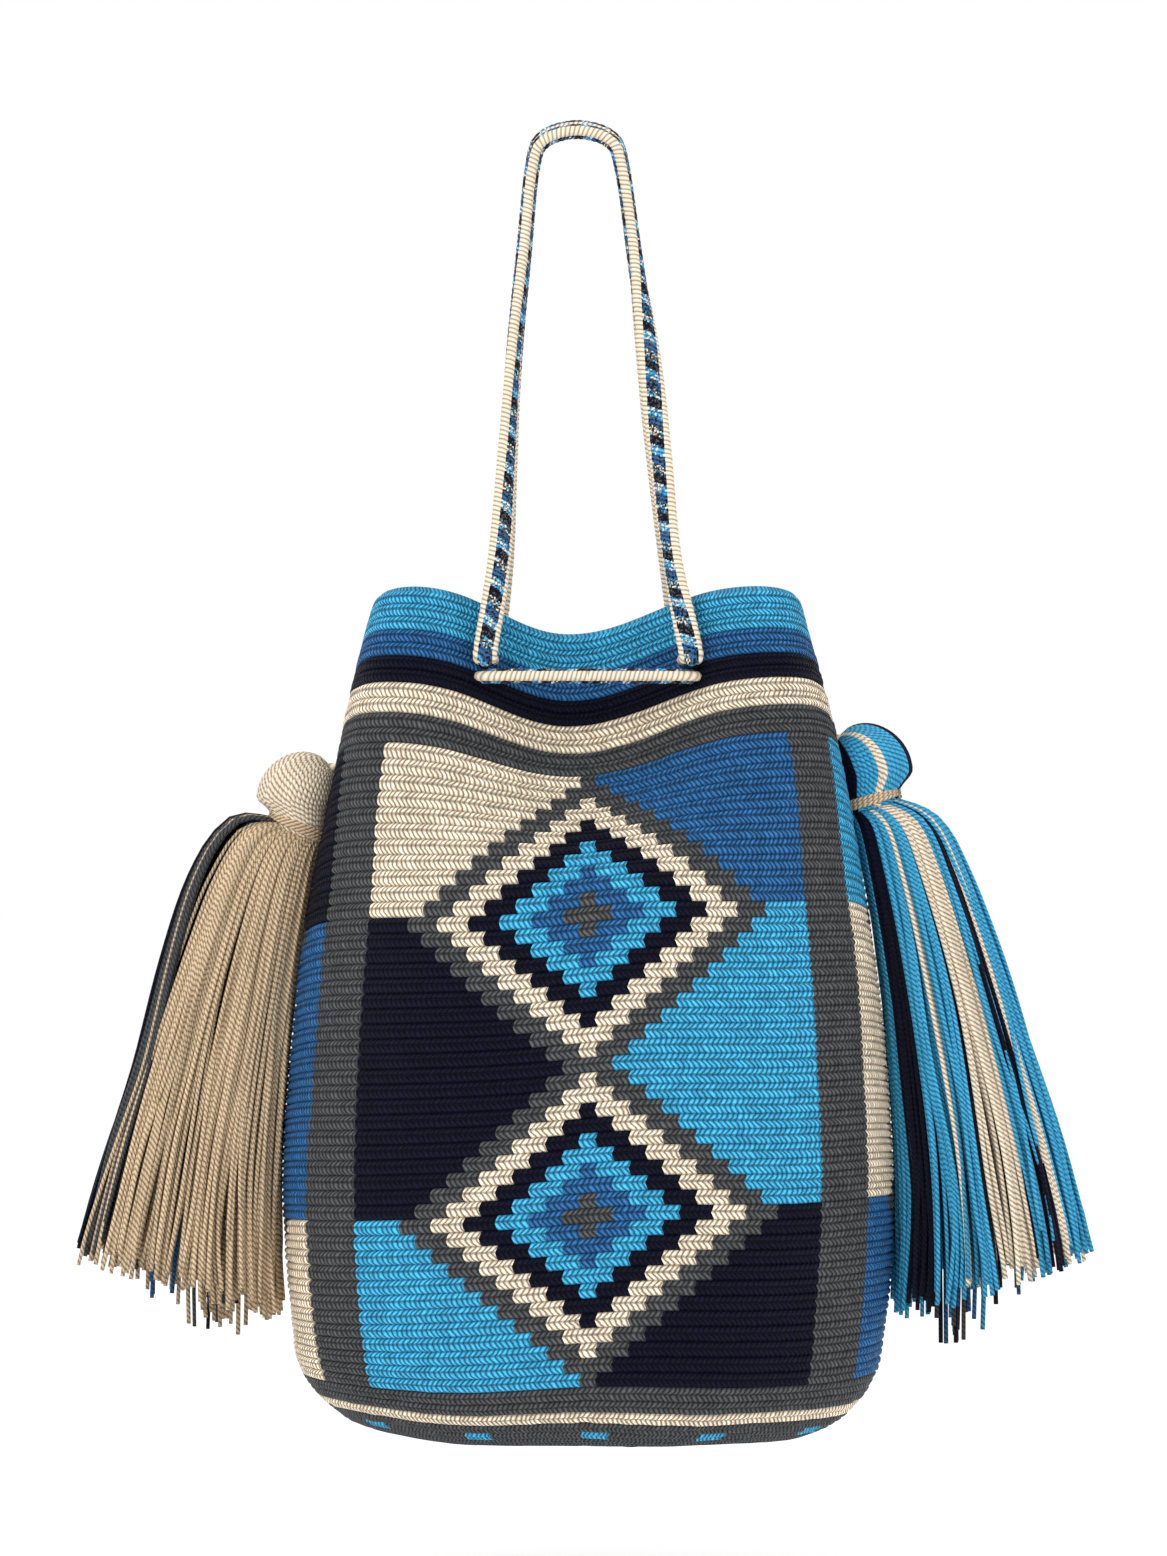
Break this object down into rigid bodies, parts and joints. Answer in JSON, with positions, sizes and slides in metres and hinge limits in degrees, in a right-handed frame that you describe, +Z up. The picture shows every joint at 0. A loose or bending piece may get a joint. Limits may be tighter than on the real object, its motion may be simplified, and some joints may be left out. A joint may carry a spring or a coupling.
{
  "type": "crocheted bucket bag",
  "caption": "Crocheted bucket bag with diamond pattern, gathered mouth, braided drawstring handles and swinging tassels at its sides.",
  "frame": {"origin": "underside of the top of the joined handle loops, where a hook or a hand holds the bag", "axes": "+Z up, +X to the bag's right-hand tassel as seen from the front, -Y out of the patterned front"},
  "size_m": [0.328, 0.1172, 0.4207],
  "materials": {
    "bag_body": "crocheted cotton yarn",
    "front_draw_cord": "braided cotton yarn",
    "back_draw_cord": "braided cotton yarn",
    "left_tassel": "twisted cotton yarn",
    "left_neck_tie": "twisted cotton yarn",
    "left_hanging_cord": "twisted cotton yarn",
    "right_tassel": "twisted cotton yarn",
    "right_neck_tie": "twisted cotton yarn",
    "right_hanging_cord": "twisted cotton yarn"
  },
  "bodies": {
    "bag": {"bag_body": "bag_body", "front_draw_cord": "front_draw_cord", "back_draw_cord": "back_draw_cord"},
    "left_hanger": {"left_hanging_cord": "left_hanging_cord"},
    "left_tassel": {"left_tassel": "left_tassel", "left_neck_tie": "left_neck_tie"},
    "right_hanger": {"right_hanging_cord": "right_hanging_cord"},
    "right_tassel": {"right_tassel": "right_tassel", "right_neck_tie": "right_neck_tie"}
  },
  "joints": [
    {"name": "left_cord_turn", "type": "hinge", "parent": "bag", "child": "left_hanger", "pos_m": [-0.07648, 0, -0.20082], "axis": [1, 0, 0], "range_deg": [-30, 30]},
    {"name": "left_tassel_swing", "type": "hinge", "parent": "left_hanger", "child": "left_tassel", "pos_m": [-0.07952, 0, -0.20082], "axis": [0, 1, 0], "range_deg": [0, 70]},
    {"name": "right_cord_turn", "type": "hinge", "parent": "bag", "child": "right_hanger", "pos_m": [0.08111, 0, -0.19162], "axis": [1, 0, 0], "range_deg": [-30, 30]},
    {"name": "right_tassel_swing", "type": "hinge", "parent": "right_hanger", "child": "right_tassel", "pos_m": [0.08459, 0, -0.19162], "axis": [0, -1, 0], "range_deg": [0, 70]}
  ]
}
